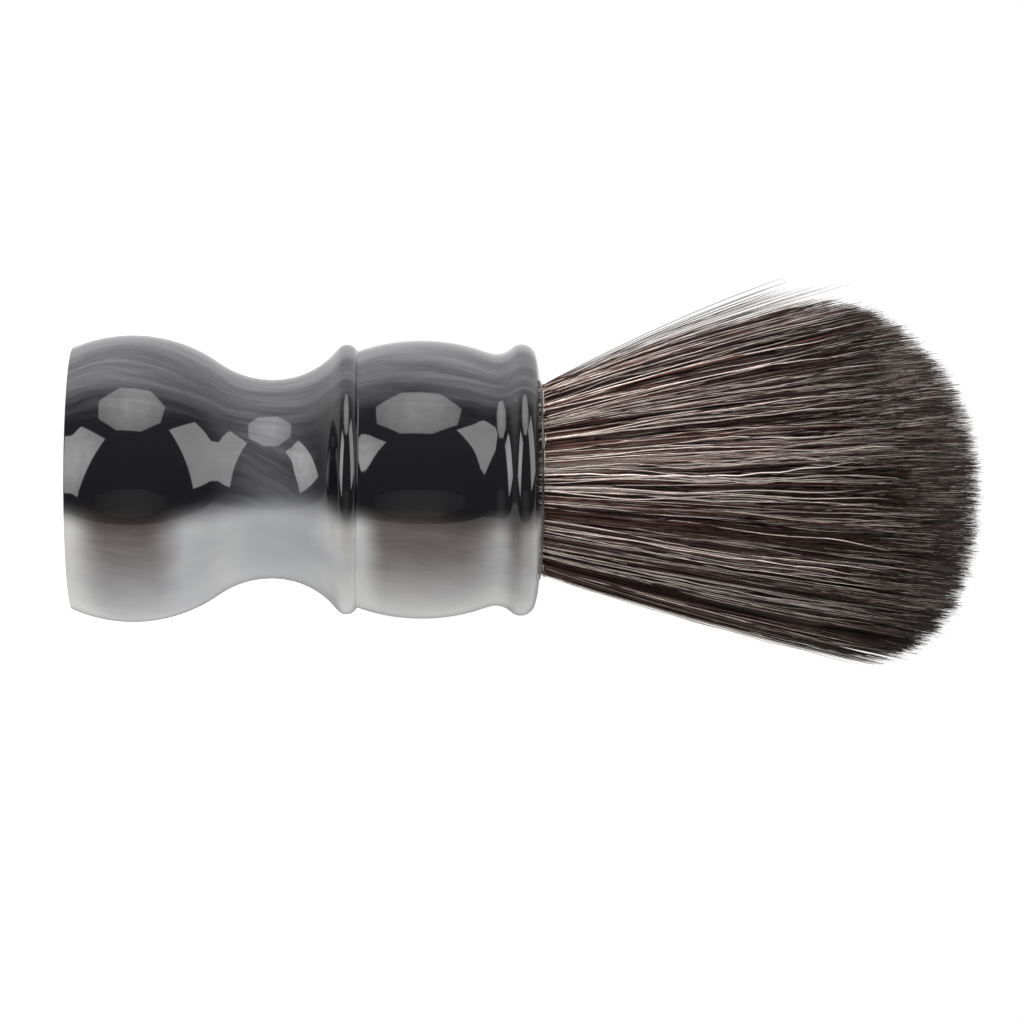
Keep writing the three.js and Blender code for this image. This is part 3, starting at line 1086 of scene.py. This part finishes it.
def make_table_card():
    """The white table top under the brush, as the resin reflects it, with a painted shadow of the brush that
    makes it darker behind the brush.
    """
    below = 25 * MM
    front = 42 * MM
    corners = [(below, -front, -1.5), (below, 2.0, -1.5), (below, 2.0, 1.5), (below, -front, 1.5)]
    card = new_mesh_object("table_card", corners, np.array([[0, 1, 2, 3]]), 4)
    material, glow = glow_material("table_card", (1.0, 0.99, 0.98))
    tree = material.node_tree
    split = tree.nodes.new("ShaderNodeSeparateXYZ")
    tree.links.new(tree.nodes.new("ShaderNodeTexCoord").outputs["Object"], split.inputs[0])
    # Painted shadow: the panel glows less behind the brush, where the brush shades the table.
    tree.links.new(smooth_map(tree, split.outputs[1], 2 * MM, 30 * MM, 1.0, 0.35), glow)
    card.data.materials.append(material)
    only_in_reflections(card)


def make_light(name, across, above, size, power, distance=0.8):
    """A soft area light, aimed at the brush, that reflections don't see."""
    data = bpy.data.lights.new(name, "AREA")
    data.shape = "DISK"
    data.size = size
    data.energy = power
    light = bpy.data.objects.new(name, data)
    away = direction(across, above)
    sideways = np.cross([0.0, 0.0, 1.0], away)
    sideways /= np.linalg.norm(sideways)
    middle = np.array([0, 0, TUFT_TOP / 2]) + away * distance
    light.matrix_world = placement(sideways, np.cross(away, sideways), away, middle)
    light.visible_glossy = False
    light.visible_camera = False
    bpy.context.scene.collection.objects.link(light)


def make_world():
    """White to the camera. To the brush it is bright behind and dim in front, as in a dark room."""
    world = bpy.data.worlds.new("white_sweep")
    bpy.context.scene.world = world
    world.use_nodes = True
    tree = world.node_tree
    tree.nodes.clear()
    coordinates = tree.nodes.new("ShaderNodeTexCoord")
    split = tree.nodes.new("ShaderNodeSeparateXYZ")
    tree.links.new(coordinates.outputs["Generated"], split.inputs[0])
    fade = smooth_map(tree, split.outputs[1], -0.45, 0.15, 0.12, 1.0)
    path = tree.nodes.new("ShaderNodeLightPath")
    choose = tree.nodes.new("ShaderNodeMix")
    choose.data_type = "FLOAT"
    tree.links.new(path.outputs["Is Camera Ray"], choose.inputs[0])
    tree.links.new(fade, choose.inputs[2])
    choose.inputs[3].default_value = 1.0
    background = tree.nodes.new("ShaderNodeBackground")
    background.inputs["Color"].default_value = (1.0, 1.0, 1.0, 1.0)
    tree.links.new(choose.outputs[0], background.inputs["Strength"])
    output = tree.nodes.new("ShaderNodeOutputWorld")
    tree.links.new(background.outputs[0], output.inputs[0])


def make_camera():
    """Level with the brush, rolled so that its tips point right and turned so that they are further off."""
    data = bpy.data.cameras.new("camera")
    distance = 0.5
    field = 128 * MM
    data.lens = data.sensor_width * distance / field
    data.clip_start = 0.01
    camera = bpy.data.objects.new("camera", data)
    level = np.array([0, -math.sin(CAMERA_TURN), math.cos(CAMERA_TURN)])
    forward = np.array([0, math.cos(CAMERA_TURN), math.sin(CAMERA_TURN)])
    middle = np.array([4.0, 0, 54.8]) * MM - 0.1 * MM * level
    above = np.array([-1.0, 0, 0])
    right = level * math.cos(CAMERA_ROLL) + above * math.sin(CAMERA_ROLL)
    up = above * math.cos(CAMERA_ROLL) - level * math.sin(CAMERA_ROLL)
    camera.matrix_world = placement(right, up, -forward, middle - distance * forward)
    bpy.context.scene.collection.objects.link(camera)
    bpy.context.scene.camera = camera


def make_stage():
    """The floor, the panels that the resin reflects, the lights and the world, at angles in degrees."""
    make_floor()
    make_table_card()
    overhead = octagon(across=-3, above=56.5, half_width=21.5, half_height=19)
    make_card("octagon_card", overhead, strength=4.2)
    left = softbox((-22, 29.5), (-46, 36.3), (-67, 1.8), (-41.3, -13.3))
    make_card("left_card", left, strength=6.2)
    right = softbox((22, 39.5), (54, 46), (76.5, 5), (41.5, -8.5))
    make_card("right_card", right, strength=4.1, distance=0.22)
    dim = octagon(across=0, above=-20, half_width=26, half_height=11)
    make_card("camera_card", dim, strength=0.35)
    make_light("key_light", across=-10, above=66, size=0.7, power=12.6)
    make_light("fill_light", across=10, above=5, size=0.9, power=3.2)
    make_light("table_light", across=0, above=-60, size=0.8, power=3.6)
    make_world()
    bpy.context.scene.view_settings.view_transform = "Standard"


make_camera()
make_handle()
make_tuft()
make_collar()
make_glue()
dress_cad_nodes()
make_stage()
